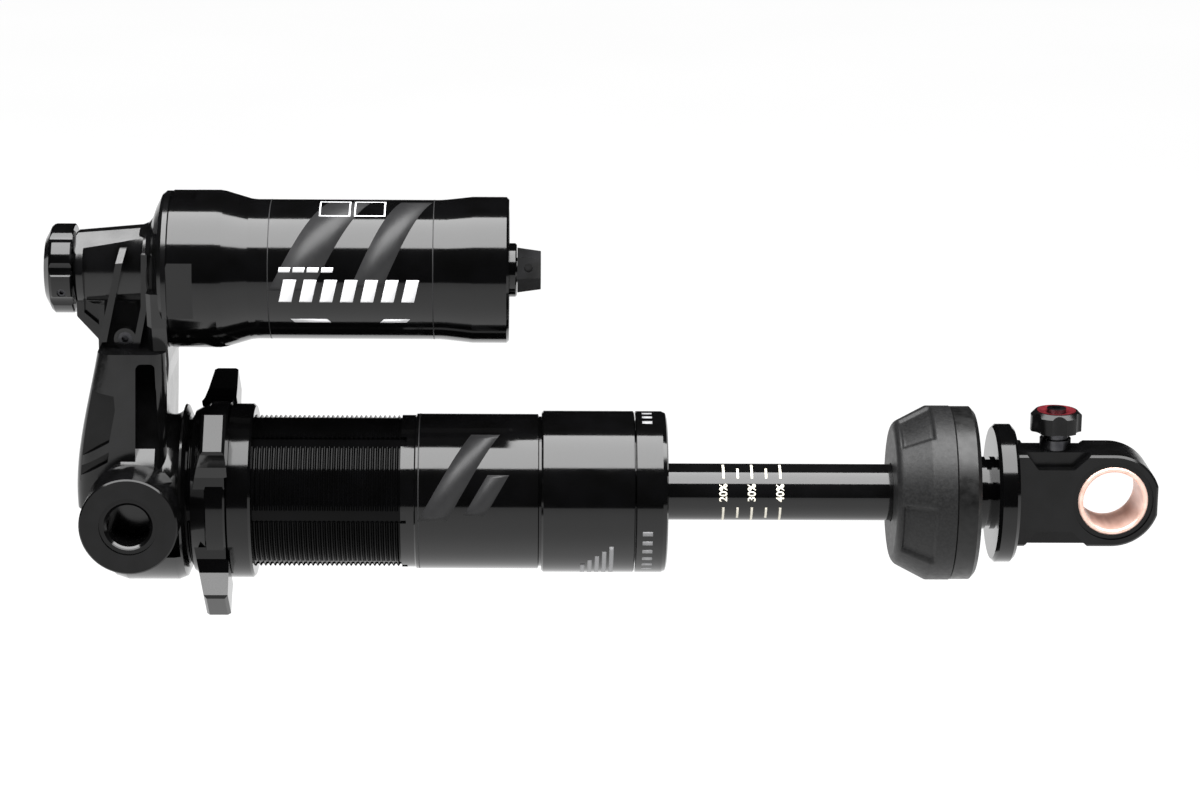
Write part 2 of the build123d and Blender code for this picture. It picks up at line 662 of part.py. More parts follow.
def reservoir_end_cap():
    z = RESERVOIR_Z
    cap = bar(END_CAP_LEFT, END_CAP_RIGHT, CAN_BORE_R - PART_GAP, 3.0, z)
    cap -= bar(-131.6, -129.8, 14, 11.2, z)
    return cap


def end_cap_oring():
    return torus_x(-130.7, 11.83, 0.6, RESERVOIR_Z)


def snap_ring():
    """Open wire ring that holds the end cap in the can."""
    z = RESERVOIR_Z
    ring = bar(-128.33, -127.97, CAN_BORE_R + 0.5, 11.4, z)
    return ring - Pos(-128.1, 0, z - 12) * Box(2, 5, 4)


def charge_valve():
    z = RESERVOIR_Z
    body = turned([
        (-135.0, 0.8), (-135.0, 2.6), (-133.4, 2.98), (END_CAP_RIGHT + PART_GAP, 2.98),
        (END_CAP_RIGHT + PART_GAP, VALVE_R - 0.1), (VALVE_FACE - 0.3, VALVE_R - 0.1),
        (VALVE_FACE, VALVE_R - 0.4),
        (VALVE_FACE, 2.6), (-122.8, 2.6), (-122.8, 0.8),
    ], z)
    return body


def valve_core():
    return turned([(-134.0, 0), (-134.0, 0.75), (-123.4, 0.75), (-123.4, 0)], RESERVOIR_Z)


def valve_cap():
    """Tapered hexagonal cap with a cross hole."""
    wide, narrow = 4.7, 4.0
    left = Plane(origin=(VALVE_FACE + 0.1, 0, RESERVOIR_Z), x_dir=(0, 1, 0), z_dir=(1, 0, 0))
    base = left * Rot(0, 0, 12) * RegularPolygon(wide, 6)
    top = left.offset(VALVE_CAP_RIGHT - VALVE_FACE - 0.1) * Rot(0, 0, 12) * RegularPolygon(narrow, 6)
    cap = loft([base, top])
    cap -= bar(VALVE_FACE, -122.4, 2.6 + FIT, z=RESERVOIR_Z)
    cap -= pin_y(-123.6, RESERVOIR_Z + 1.2, -6, -3.0, 0.9)
    return cap


# ---- floating piston in the reservoir ----


def floating_piston():
    right = IFP_LEFT + IFP_LENGTH
    body = turned([
        (IFP_LEFT, 0), (IFP_LEFT, 11.6), (IFP_LEFT + 0.8, 12.3), (right, 12.3), (right, 9.5),
        (IFP_LEFT + 4, 8.5), (IFP_LEFT + 4, 0),
    ], RESERVOIR_Z)
    body -= bar(IFP_LEFT + 1.8, IFP_LEFT + 3.8, 14, 10.6, z=RESERVOIR_Z)
    body -= bar(IFP_LEFT + 5.2, IFP_LEFT + 8.8, 14, 11.4, z=RESERVOIR_Z)
    return body


def floating_piston_seal():
    return torus_x(IFP_LEFT + 2.8, 11.53, 0.92, RESERVOIR_Z)


def floating_piston_band():
    return bar(IFP_LEFT + 5.3, IFP_LEFT + 8.7, CAN_BORE_R - FIT, 11.4 + PART_GAP, RESERVOIR_Z)


# ---- compression adjuster ----


def compression_housing():
    """Plug screwed into the barrel, which guides the needle and carries the knob."""
    z = RESERVOIR_Z
    body = turned([
        (-210.6, NEEDLE_R + FIT), (-210.6, BARREL_BORE_R - PART_GAP), (-217.0, BARREL_BORE_R - PART_GAP),
        (-217.0, 4.0), (-220.4, 4.0), (-220.4, NEEDLE_R + FIT),
    ], z)
    return body - bar(-214.8, -213.2, 8, BARREL_BORE_R - 1.2, z=z)


def compression_oring():
    return torus_x(-214.0, BARREL_BORE_R - 0.62, 0.55, RESERVOIR_Z)


def compression_needle():
    z = RESERVOIR_Z
    return turned([(-221.6, 0), (-221.6, NEEDLE_R), (-205.6, NEEDLE_R), (-202.6, 0.5), (-202.6, 0)], z)


def base_valve_piston():
    z = RESERVOIR_Z
    body = bar(-202.4, -198.8, CHAMBER_R - PART_GAP, 1.2, z)
    return body - ring_of_bars(-204, -197, 5.4, 1.1, 6, z)


def base_valve_shims():
    z = RESERVOIR_Z
    discs = Part()
    for i, radius in enumerate((7.0, 6.0, 5.0)):
        x = -198.78 + i * 0.32
        discs += bar(x, x + 0.3, radius, 2.4, z)
    return discs


def base_valve_bolt():
    """Hollow screw that holds the shims on the base valve."""
    z = RESERVOIR_Z
    return bar(-197.8, -196.2, 3.9, 1.2, z) + bar(-198.78, -197.7, 2.4 - PART_GAP, 1.2, z)


def compression_knob():
    z = RESERVOIR_Z
    body = turned([
        (COMP_KNOB_LEFT, 0), (COMP_KNOB_LEFT, 4.0), (COMP_KNOB_LEFT + 0.4, 6.6),
        (COMP_KNOB_LEFT + 1.6, COMP_KNOB_R - 0.5), (COMP_KNOB_LEFT + 2.2, COMP_KNOB_R),
        (COMP_KNOB_RIGHT - 0.3, COMP_KNOB_R),
        (COMP_KNOB_RIGHT, COMP_KNOB_R - 0.3), (COMP_KNOB_RIGHT, 0),
    ], z)
    scallops = 8
    for i in range(scallops):
        turn = radians(360 * i / scallops + 10)
        cutter = bar(COMP_KNOB_LEFT - 1, COMP_KNOB_RIGHT + 1, 3.0, z=z)
        body -= Pos(0, 11.85 * sin(turn), 11.85 * cos(turn)) * cutter
    body -= bar(-222.1, COMP_KNOB_RIGHT + 1, 4.0 + FIT, z=z)
    body -= pin_y(-219.6, z - 3.4, -12, -4.6, 0.9)
    return body


def compression_knob_screw():
    """Grub screw that fixes the knob to its stem."""
    z = RESERVOIR_Z - 3.4
    body = pin_y(-219.6, z, -7.9, -5.0, 0.9 - PART_GAP)
    return body - Pos(-219.6, -7.0, z) * Rot(90, 0, 0) * extrude(RegularPolygon(0.5, 6), 2)


PIECES = {
    "shaft": shaft,
    "lower_eyelet": lower_eyelet,
    "eyelet_bush": eyelet_bush,
    "retainer_seat": retainer_seat,
    "rebound_bushing": rebound_bushing,
    "rebound_knob": rebound_knob,
    "rebound_knob_ring": rebound_knob_ring,
    "rebound_knob_screw": rebound_knob_screw,
    "rebound_spindle": rebound_spindle,
    "rebound_rod": rebound_rod,
    "piston": piston,
    "compression_shims": lambda: piston_shims(-124.98, 1),
    "rebound_shims": lambda: piston_shims(-131.02, -1),
    "piston_nut": piston_nut,
    "piston_band": piston_band,
    "bumper": bumper,
    "bumper_cup": bumper_cup,
    "damper_tube": damper_tube,
    "lower_sleeve": lower_sleeve,
    "seal_head": seal_head,
    "shaft_bush": shaft_bush,
    "shaft_seal": shaft_seal,
    "dust_wiper": dust_wiper,
    "seal_head_oring": seal_head_oring,
    "top_out_spring": top_out_spring,
    "preload_nut": preload_nut,
    "collar_detent_ball": collar_detent_ball,
    "collar_detent_screw": collar_detent_screw,
    "spring_ring": spring_ring,
    "damper_head": damper_head,
    "bleed_screw": bleed_screw,
    "can_oring": can_oring,
    "reservoir_can": reservoir_can,
    "reservoir_end_cap": reservoir_end_cap,
    "end_cap_oring": end_cap_oring,
    "snap_ring": snap_ring,
    "charge_valve": charge_valve,
    "valve_core": valve_core,
    "valve_cap": valve_cap,
    "floating_piston": floating_piston,
    "floating_piston_seal": floating_piston_seal,
    "floating_piston_band": floating_piston_band,
    "compression_housing": compression_housing,
    "compression_oring": compression_oring,
    "compression_needle": compression_needle,
    "base_valve_piston": base_valve_piston,
    "base_valve_shims": base_valve_shims,
    "base_valve_bolt": base_valve_bolt,
    "compression_knob": compression_knob,
    "compression_knob_screw": compression_knob_screw,
}

os.makedirs("parts", exist_ok=True)
for name, make in PIECES.items():
    export_step(make(), f"parts/{name}.step")
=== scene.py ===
"""Looks, lights and camera for the rear shock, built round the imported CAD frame.

Metres, +X to the eyelet, +Z up. Angles round X are in degrees from +Z towards -Y, which is the camera's side.
"""

import json
import math

import bmesh
import bpy
from mathutils import Matrix, Vector


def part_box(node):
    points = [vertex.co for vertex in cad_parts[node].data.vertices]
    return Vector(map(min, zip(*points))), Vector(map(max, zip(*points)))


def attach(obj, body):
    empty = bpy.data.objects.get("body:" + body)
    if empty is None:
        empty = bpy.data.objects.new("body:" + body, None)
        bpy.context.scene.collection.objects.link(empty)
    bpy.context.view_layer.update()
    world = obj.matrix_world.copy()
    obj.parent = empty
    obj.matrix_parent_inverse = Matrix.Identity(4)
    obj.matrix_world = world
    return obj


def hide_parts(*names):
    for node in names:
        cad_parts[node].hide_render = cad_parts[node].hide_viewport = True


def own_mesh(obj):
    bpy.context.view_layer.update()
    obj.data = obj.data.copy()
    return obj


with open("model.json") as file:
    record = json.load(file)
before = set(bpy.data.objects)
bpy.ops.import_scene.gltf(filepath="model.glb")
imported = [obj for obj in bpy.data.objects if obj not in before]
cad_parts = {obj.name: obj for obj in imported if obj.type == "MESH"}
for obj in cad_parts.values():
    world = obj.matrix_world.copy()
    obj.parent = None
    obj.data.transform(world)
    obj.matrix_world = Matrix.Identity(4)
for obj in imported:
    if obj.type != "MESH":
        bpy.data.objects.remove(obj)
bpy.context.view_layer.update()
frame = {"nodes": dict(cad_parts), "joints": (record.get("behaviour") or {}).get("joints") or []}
MM = 0.001


def x_range(node):
    low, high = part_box(node)
    return low.x, high.x


def outer_radius(node):
    low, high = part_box(node)
    return (high.y - low.y) / 2


def axis_height(node):
    low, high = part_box(node)
    return (low.z + high.z) / 2


CAN_AXIS = axis_height("reservoir_can")
STROKE = next(j["range_m"][1] for j in frame["joints"] if j["name"] == "stroke")


# ---- camera ----


CAMERA_TARGET = Vector((-0.1083, 0.005, 0.0187))
CAMERA_DISTANCE = 0.712
CAMERA_YAW = math.radians(1.28)  # towards the head
CAMERA_ELEVATION = math.radians(15.0)
CAMERA_ROLL = math.radians(0.56)
CAMERA_LENS = 100.7
SENSOR_WIDTH = 36.0
CLIP_START = 0.01


def make_camera():
    """A long lens, above the stroke axis and a little towards the head."""
    flat = CAMERA_DISTANCE * math.cos(CAMERA_ELEVATION)
    height = CAMERA_DISTANCE * math.sin(CAMERA_ELEVATION)
    offset = Vector((-flat * math.sin(CAMERA_YAW), -flat * math.cos(CAMERA_YAW), height))
    camera = bpy.data.objects.new("camera", bpy.data.cameras.new("camera"))
    camera.data.lens = CAMERA_LENS
    camera.data.sensor_width = SENSOR_WIDTH
    camera.data.clip_start = CLIP_START
    camera.location = CAMERA_TARGET + offset
    look = (CAMERA_TARGET - camera.location).to_track_quat("-Z", "Y").to_matrix()
    camera.rotation_euler = (look @ Matrix.Rotation(CAMERA_ROLL, 3, "Z")).to_euler()
    bpy.context.scene.collection.objects.link(camera)
    bpy.context.scene.camera = camera


make_camera()


# ---- materials ----


DEFAULT_SPECULAR = 0.5
COAT_ROUGHNESS = 0.08
NOISE_LOW, NOISE_HIGH = 0.3, 0.7  # where most of a noise texture's values lie
RAMP_LOW, RAMP_HIGH = 0.35, 0.65


class Finish:
    """A Principled material, with noise for colour, roughness and surface grain in the row frame."""

    def __init__(self, name, roughness, metallic=0.0, ior=1.5, coat=0.0):
        self.material = bpy.data.materials.new(name)
        self.material.use_nodes = True
        self.tree = self.material.node_tree
        self.shader = self.tree.nodes["Principled BSDF"]
        self.shader.inputs["Metallic"].default_value = metallic
        self.shader.inputs["IOR"].default_value = ior
        self.shader.inputs["Coat Weight"].default_value = coat
        self.shader.inputs["Coat Roughness"].default_value = COAT_ROUGHNESS
        self.roughness = roughness
        self.place = self.tree.nodes.new("ShaderNodeTexCoord").outputs["Object"]
        self.normal = None

    def node(self, kind, **sockets):
        made = self.tree.nodes.new(kind)
        for name, value in sockets.items():
            made.inputs[name.replace("_", " ")].default_value = value
        return made

    def math(self, operation, *values):
        """A math node; each value is a socket or a number."""
        made = self.tree.nodes.new("ShaderNodeMath")
        made.operation = operation
        for value, socket in zip(values, made.inputs):
            if isinstance(value, float):
                socket.default_value = value
            else:
                self.tree.links.new(value, socket)
        return made.outputs["Value"]

    def noise(self, size, detail=3.0, stretch=(1, 1, 1)):
        """Noise of about that feature size in metres, stretched along the axes."""
        mapping = self.node("ShaderNodeMapping", Scale=[1 / (size * s) for s in stretch])
        self.tree.links.new(self.place, mapping.inputs["Vector"])
        made = self.node("ShaderNodeTexNoise", Scale=1.0, Detail=detail)
        self.tree.links.new(mapping.outputs["Vector"], made.inputs["Vector"])
        return made.outputs["Fac"]

    def spread(self, source, low, high, start=NOISE_LOW, end=NOISE_HIGH):
        """Maps the source's values from start to end onto low to high."""
        made = self.node("ShaderNodeMapRange", From_Min=start, From_Max=end, To_Min=low, To_Max=high)
        self.tree.links.new(source, made.inputs["Value"])
        return made.outputs["Result"]

    def colour(self, dark, light, size=0.004, stretch=(1, 1, 1)):
        ramp = self.node("ShaderNodeValToRGB")
        first, last = ramp.color_ramp.elements
        first.position = RAMP_LOW
        first.color = (*dark, 1)
        last.position = RAMP_HIGH
        last.color = (*light, 1)
        self.tree.links.new(self.noise(size, stretch=stretch), ramp.inputs["Fac"])
        self.tree.links.new(ramp.outputs["Color"], self.shader.inputs["Base Color"])
        return self

    def gloss(self, change, size=0.006, stretch=(1, 1, 1)):
        """Lets the roughness wander by that much either side."""
        source = self.noise(size, stretch=stretch)
        result = self.spread(source, self.roughness - change, self.roughness + change)
        self.tree.links.new(result, self.shader.inputs["Roughness"])
        return self

    def bump(self, source, depth):
        """Bumps of that depth in metres, from the source. Called again, it adds a finer layer on top."""
        made = self.node("ShaderNodeBump", Strength=1.0, Distance=depth)
        self.tree.links.new(source, made.inputs["Height"])
        if self.normal:
            self.tree.links.new(self.normal, made.inputs["Normal"])
        self.normal = made.outputs["Normal"]
        self.tree.links.new(self.normal, self.shader.inputs["Normal"])
        return self

    def grain(self, size, depth, stretch=(1, 1, 1)):
        """Bumps of about that size, and of that depth, in metres."""
        return self.bump(self.noise(size, detail=2.0, stretch=stretch), depth)

    def paint_shade_in(self, boxes, level):
        """Painted shade: weakens the mirror in those boxes, on both sides of Y, so that they look darker.
        Each is a centre and a half size in mm.
        """
        place = self.node("ShaderNodeSeparateXYZ")
        self.tree.links.new(self.place, place.inputs["Vector"])
        sources = (place.outputs["X"], self.math("ABSOLUTE", place.outputs["Y"]), place.outputs["Z"])
        anywhere = None
        for centre, half in boxes:
            inside = None
            for source, middle, reach in zip(sources, centre, half):
                test = self.math("COMPARE", source, middle * MM, reach * MM)
                inside = self.math("MULTIPLY", inside, test) if inside else test
            anywhere = self.math("MAXIMUM", anywhere, inside) if anywhere else inside
        result = self.spread(anywhere, DEFAULT_SPECULAR, level, 0.0, 1.0)
        self.tree.links.new(result, self.shader.inputs["Specular IOR Level"])
        return self


RINGS = (0.02, 30, 30)  # stretch of marks left by turning about X
# Boxes that get painted shade: the mirror is weakened there so that they look darker.
BOSS_FACE = ((-205, 27, 0), (12, 0.7, 12))
ARM_POCKET = ((-214.5, 13.9, 18), (6.2, 0.15, 12))
THREADED = ((-175, 10, 0), (25.0, 12, 20))


def turned_black(name, roughness=0.09, shade=0.0012, ior=1.43, painted_shade_boxes=()):
    """Hard black anodising over a lathe-turned surface."""
    made = Finish(name, roughness, ior=ior)
    # Painted shade: the mirror is weakened in the given boxes.
    if painted_shade_boxes:
        made.paint_shade_in(painted_shade_boxes, level=0.1)
    made.colour((shade * 0.8,) * 3, (shade * 1.2, shade * 1.2, shade * 1.3), 0.006)
    made.gloss(0.015, 0.005)
    return made.grain(0.004, 1.0e-6, RINGS).grain(0.00025, 0.5e-6).material


def forged_black(name, roughness=0.2, shade=0.002, ior=1.43, painted_shade_boxes=()):
    """Black anodising over a blasted forging: a fine even tooth, slightly wavy."""
    made = Finish(name, roughness, ior=ior)
    # Painted shade: the mirror is weakened in the given boxes.
    if painted_shade_boxes:
        made.paint_shade_in(painted_shade_boxes, level=0.26)
    made.colour((shade * 0.7,) * 3, (shade * 1.3, shade * 1.3, shade * 1.4), 0.004)
    made.gloss(0.04, 0.006)
    return made.grain(0.007, 1.5e-5).grain(0.00022, 1.6e-6).material


def print_ink(name, shade, roughness, ior=1.45):
    """Screen-printed ink, nearly even."""
    made = Finish(name, roughness, ior=ior)
    made.colour([c * 0.92 for c in shade], shade, 0.0015)
    made.gloss(0.04, 0.003)
    return made.grain(0.00012, 1.5e-6).material


def bright_metal(name, dark, light, roughness, stretch=(1, 1, 1)):
    """Bare metal with its tool marks."""
    made = Finish(name, roughness, metallic=1.0)
    made.colour(dark, light, 0.003, stretch)
    made.gloss(0.06, 0.002, stretch)
    return made.grain(0.0009, 1.5e-6, stretch).material


def rubber(name, shade=0.012, roughness=0.55, tooth=5e-6, ior=1.45):
    """Moulded rubber or plastic with a fine tooth of that depth."""
    made = Finish(name, roughness, ior=ior)
    made.colour((shade * 0.7,) * 3, (shade * 1.4,) * 3, 0.0012)
    made.gloss(0.08, 0.002)
    return made.grain(0.0004, tooth).material


def foam():
    """Dense microcellular foam: speckled dark grey, a pebbled skin with small open pores."""
    made = Finish("bumper_foam", roughness=0.46, ior=1.35)
    made.colour((0.004, 0.004, 0.0042), (0.009, 0.009, 0.0092), 0.0005)
    made.gloss(0.05, 0.0009)
    pores = made.node("ShaderNodeTexVoronoi", Scale=3600.0)
    made.tree.links.new(made.place, pores.inputs["Vector"])
    pits = made.spread(pores.outputs["Distance"], 0.0, 1.0, 0.0, 0.35)
    return made.grain(0.0012, 1.0e-5).bump(pits, 4e-6).grain(0.00015, 2.5e-6).material


def bush_copper():
    """Filled polymer liner with a copper tint, wiped smooth along the bore."""
    made = Finish("bush_copper", roughness=0.36, metallic=0.5)
    made.colour((0.68, 0.44, 0.36), (0.8, 0.56, 0.48), 0.0016, (1, 4, 1))
    made.gloss(0.07, 0.002, (1, 5, 1))
    return made.grain(0.0005, 2e-6, (1, 8, 1)).material


def red_anodised():
    """Clear red anodising with a little varnish."""
    made = Finish("red_anodised", roughness=0.3, metallic=0.75, coat=0.3)
    made.colour((0.2, 0.02, 0.028), (0.3, 0.035, 0.045), 0.001)
    made.gloss(0.04, 0.001)
    return made.grain(0.0003, 1.5e-6).material


GLOSS = turned_black("black_gloss")
SHAFT = turned_black("black_shaft", roughness=0.07, shade=0.002, ior=1.44)
COLLAR = turned_black("black_collar", roughness=0.1, shade=0.001, ior=1.38)
# The thread, the boss faces and the arm pocket get painted shade from a weaker mirror.
THREAD = turned_black("black_thread", painted_shade_boxes=(THREADED,))
HEAD = forged_black("black_head", roughness=0.14, ior=1.46, painted_shade_boxes=(BOSS_FACE, ARM_POCKET))
SATIN = forged_black("black_satin", roughness=0.24, shade=0.002, ior=1.33)
PLASTIC = forged_black("black_plastic", roughness=0.34, shade=0.006)
DARK_STEEL = bright_metal("dark_steel", (0.05, 0.05, 0.055), (0.09, 0.09, 0.095), 0.3)
STEEL = bright_metal("ground_steel", (0.5, 0.5, 0.51), (0.62, 0.62, 0.63), 0.22)
ALUMINIUM = bright_metal("turned_aluminium", (0.56, 0.57, 0.58), (0.7, 0.7, 0.71), 0.28, RINGS)
BRASS = bright_metal("brass", (0.62, 0.42, 0.16), (0.76, 0.55, 0.25), 0.25)
SEAL = rubber("seal_rubber")
GLIDE = rubber("glide_band", shade=0.18, roughness=0.4, tooth=2e-6)
CUP = rubber("bumper_cup_rubber", shade=0.004, roughness=0.36, tooth=1.5e-6, ior=1.36)
FOAM = foam()
COPPER = bush_copper()
RED = red_anodised()
INK_GREY = print_ink("ink_grey", (0.014, 0.014, 0.0145), 0.42, ior=1.34)
INK_WHITE = print_ink("ink_white", (0.62, 0.62, 0.63), 0.5)
INK_PALE = print_ink("ink_pale", (0.22, 0.22, 0.225), 0.5)
INK_CREAM = print_ink("ink_cream", (0.66, 0.63, 0.54), 0.5)

FINISHES = {
    GLOSS: ["reservoir_can", "lower_sleeve", "seal_head", "compression_knob", "reservoir_end_cap",
            "charge_valve"],
    COLLAR: ["retainer_seat", "preload_nut", "spring_ring"],
    SHAFT: ["shaft"],
    THREAD: ["damper_tube"],
    HEAD: ["damper_head"],
    SATIN: ["lower_eyelet", "rebound_knob", "compression_housing"],
    PLASTIC: ["valve_cap"],
    DARK_STEEL: ["rebound_bushing", "rebound_knob_screw", "bleed_screw", "compression_knob_screw",
                 "collar_detent_screw"],
    STEEL: ["rebound_spindle", "rebound_rod", "compression_shims", "rebound_shims", "piston_nut",
            "top_out_spring", "collar_detent_ball", "snap_ring", "compression_needle", "base_valve_shims",
            "base_valve_bolt"],
    ALUMINIUM: ["piston", "floating_piston", "base_valve_piston"],
    BRASS: ["valve_core"],
    SEAL: ["shaft_seal", "dust_wiper", "seal_head_oring", "can_oring", "end_cap_oring",
           "floating_piston_seal", "compression_oring"],
    GLIDE: ["piston_band", "floating_piston_band"],
    FOAM: ["bumper"],
    CUP: ["bumper_cup"],
    COPPER: ["eyelet_bush", "shaft_bush"],
    RED: ["rebound_knob_ring"],
}


def paint(obj, material):
    obj.data.materials.clear()
    obj.data.materials.append(material)


for material, names in FINISHES.items():
    for node_name in names:
        paint(frame["nodes"][node_name], material)


# ---- printed marks ----


INK_FILM = 0.012 * MM  # height of the ink's top over the cylinder
TOP_INK_FILM = 0.02 * MM  # for ink that lies over other ink
INK_LIFT = 0.004 * MM  # height of the ink's underside over the cylinder
ROLL_STEP = math.radians(4)  # arc between two rows of points on a rolled mark
BOLDER = 0.02  # widening of a number's strokes, as a share of its height
WELD = 1e-7


def add_piece(name, bm, material, body):
    mesh = bpy.data.meshes.new(name)
    bmesh.ops.recalc_face_normals(bm, faces=bm.faces)
    bm.to_mesh(mesh)
    bm.free()
    for face in mesh.polygons:
        face.use_smooth = True
    piece = bpy.data.objects.new(name, mesh)
    bpy.context.scene.collection.objects.link(piece)
    paint(piece, material)
    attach(piece, body)
    return piece


def roll_on(bm, radius, axis_z, film=INK_FILM):
    """Wraps a flat layer onto a cylinder about X. In it, y is the arc length from the +Z side towards -Y."""
    step = ROLL_STEP * radius
    low = min(v.co.y for v in bm.verts)
    high = max(v.co.y for v in bm.verts)
    for i in range(math.floor(low / step) + 1, math.ceil(high / step)):
        everything = bm.verts[:] + bm.edges[:] + bm.faces[:]
        bmesh.ops.bisect_plane(bm, geom=everything, plane_co=(0, i * step, 0), plane_no=(0, 1, 0))
    bottom = bm.verts[:]
    made = bmesh.ops.extrude_face_region(bm, geom=bm.faces[:])
    top = {v for v in made["geom"] if isinstance(v, bmesh.types.BMVert)}
    for v in bottom + list(top):
        reach = radius + (film if v in top else INK_LIFT)
        turn = v.co.y / radius
        v.co = (v.co.x, -reach * math.sin(turn), axis_z + reach * math.cos(turn))


def printed(name, outlines, radius, axis_z, material, body, film=INK_FILM):
    """Flat shapes printed on a cylinder. Each outline is a list of (x in metres, angle in degrees)."""
    bm = bmesh.new()
    for outline in outlines:
        bm.faces.new([bm.verts.new((x, math.radians(angle) * radius, 0)) for x, angle in outline])
    roll_on(bm, radius, axis_z, film)
    return add_piece(name, bm, material, body)


def bar(x0, x1, a0, a1, slant=0.0):
    """A parallelogram: x0 to x1 wide, from angle a0 to a1, shifted along X by slant at a1."""
    return [(x0, a0), (x1, a0), (x1 + slant, a1), (x0 + slant, a1)]


def printed_number(name, text, height, x, angle, radius, material, body):
    """A number on the cylinder that reads upwards, its foot to +X."""
    curve = bpy.data.curves.new(name, "FONT")
    curve.body = text
    curve.size = height
    curve.align_x = "CENTER"
    curve.align_y = "CENTER"
    curve.offset = height * BOLDER
    carrier = bpy.data.objects.new(name + "_flat", curve)
    bpy.context.scene.collection.objects.link(carrier)
    bpy.context.view_layer.update()
    flat = bpy.data.meshes.new_from_object(carrier.evaluated_get(bpy.context.evaluated_depsgraph_get()))
    bpy.data.objects.remove(carrier)
    bm = bmesh.new()
    bm.from_mesh(flat)
    bmesh.ops.remove_doubles(bm, verts=bm.verts, dist=WELD)
    for v in bm.verts:
        v.co = (x - v.co.y, math.radians(angle) * radius - v.co.x, 0)
    roll_on(bm, radius, 0.0)
    return add_piece(name, bm, material, body)


SAG_PERCENTS = range(20, 45, 5)
SAG_HALF_WIDTH = 0.24 * MM
SAG_UPPER_START, SAG_LOWER_END = 19, 140  # degrees
SAG_LONG_UPPER_START, SAG_LONG_LOWER_END = 2, 165
SAG_UPPER_END, SAG_LOWER_START = 46, 107  # the gap for the number
SAG_NUMBER_ANGLE = 76
SAG_NUMBER_HEIGHT = 2.3 * MM


def sag_scale():
    """Marks on the shaft at shares of the stroke, with a number and longer lines on every second one."""
    radius = outer_radius("shaft")
    zero = x_range("seal_head")[1]
    lines = []
    for percent in SAG_PERCENTS:
        x = zero + STROKE * percent / 100
        x0, x1 = x - SAG_HALF_WIDTH, x + SAG_HALF_WIDTH
        numbered = percent % 10 == 0
        upper_start = SAG_LONG_UPPER_START if numbered else SAG_UPPER_START
        lower_end = SAG_LONG_LOWER_END if numbered else SAG_LOWER_END
        lines.append(bar(x0, x1, upper_start, SAG_UPPER_END))
        lines.append(bar(x0, x1, SAG_LOWER_START, lower_end))
        if numbered:
            printed_number(f"sag_{percent}", f"{percent}%", SAG_NUMBER_HEIGHT, x, SAG_NUMBER_ANGLE, radius,
                           INK_CREAM, "shaft_assembly")
    printed("sag_lines", lines, radius, 0.0, INK_CREAM, "shaft_assembly")


sag_scale()


# ---- bumper ----


BUMPER_BORE_R = 6.25 * MM
NOSE_STEP = 3.4 * MM  # the nose's edge is that much nearer to the axis than the cup end
CONE_LENGTH = 7.2 * MM
NOSE_ROUND = 2.4 * MM
FACE_SHARE, RUN_SHARE = 0.75, 0.6  # of the round's radius, taken off the face and off the cone's run
BUMPER_ROWS = 72  # steps along the profile
BUMPER_TURNS = 288  # steps round the axis
RECESS_FIRST, RECESS_STEP = 15, 90  # degrees
RECESS_MIDDLE = 4.6 * MM  # from the nose
RECESS_HALF_LENGTH = 3.1 * MM
RECESS_R = 16.6 * MM  # where its arc is measured
RECESS_HALF_ARC = 5.9 * MM
RECESS_DEPTH = 0.95 * MM
RECESS_RIM = 0.9 * MM  # width of its soft rim, of which RIM_OUTSIDE lies outside the outline
RIM_OUTSIDE = 0.5 * MM
RECESS_REACH = 1.5 * MM  # how far in from the nose's edge a recess may reach


def bumper_profile(left, right, cup_r):
    """Outside of the cone from the bore's edge at the nose to the cup, as evenly spaced (x, radius)."""
    nose_r = cup_r - NOSE_STEP
    shoulder = left + CONE_LENGTH
    slope = math.atan2(cup_r - nose_r, shoulder - left)
    corner_angle = math.pi / 2 - slope
    face = nose_r - NOSE_ROUND * FACE_SHARE - BUMPER_BORE_R
    corner = NOSE_ROUND * corner_angle
    run = math.hypot(shoulder - left, cup_r - nose_r) - NOSE_ROUND * RUN_SHARE
    flat = right - shoulder
    centre_x, centre_r = left + NOSE_ROUND, BUMPER_BORE_R + face
    start_x = centre_x - NOSE_ROUND * math.cos(corner_angle)
    start_r = centre_r + NOSE_ROUND * math.sin(corner_angle)
    points = []
    for i in range(BUMPER_ROWS + 1):
        s = i / BUMPER_ROWS * (face + corner + run + flat)
        past_corner = s - face - corner
        if s < face:
            points.append((left, BUMPER_BORE_R + s))
        elif past_corner < 0:
            turn = (s - face) / NOSE_ROUND
            points.append((centre_x - NOSE_ROUND * math.cos(turn), centre_r + NOSE_ROUND * math.sin(turn)))
        elif past_corner < run:
            k = past_corner / run
            points.append((start_x + (shoulder - start_x) * k, start_r + (cup_r - start_r) * k))
        else:
            points.append((min(right, shoulder + past_corner - run), cup_r))
    return points


def recess_depth(from_nose, angle):
    """Depth of the nearest recess there: a rounded panel with a soft rim."""
    middle = RECESS_FIRST + RECESS_STEP * round((angle - RECESS_FIRST) / RECESS_STEP)
    across = abs(from_nose - RECESS_MIDDLE) - RECESS_HALF_LENGTH
    around = math.radians(abs(angle - middle)) * RECESS_R - RECESS_HALF_ARC
    outside = math.hypot(max(across, 0), max(around, 0)) + min(max(across, around), 0)
    k = min(max((RIM_OUTSIDE - outside) / RECESS_RIM, 0), 1)
    return RECESS_DEPTH * k * k * (3 - 2 * k)


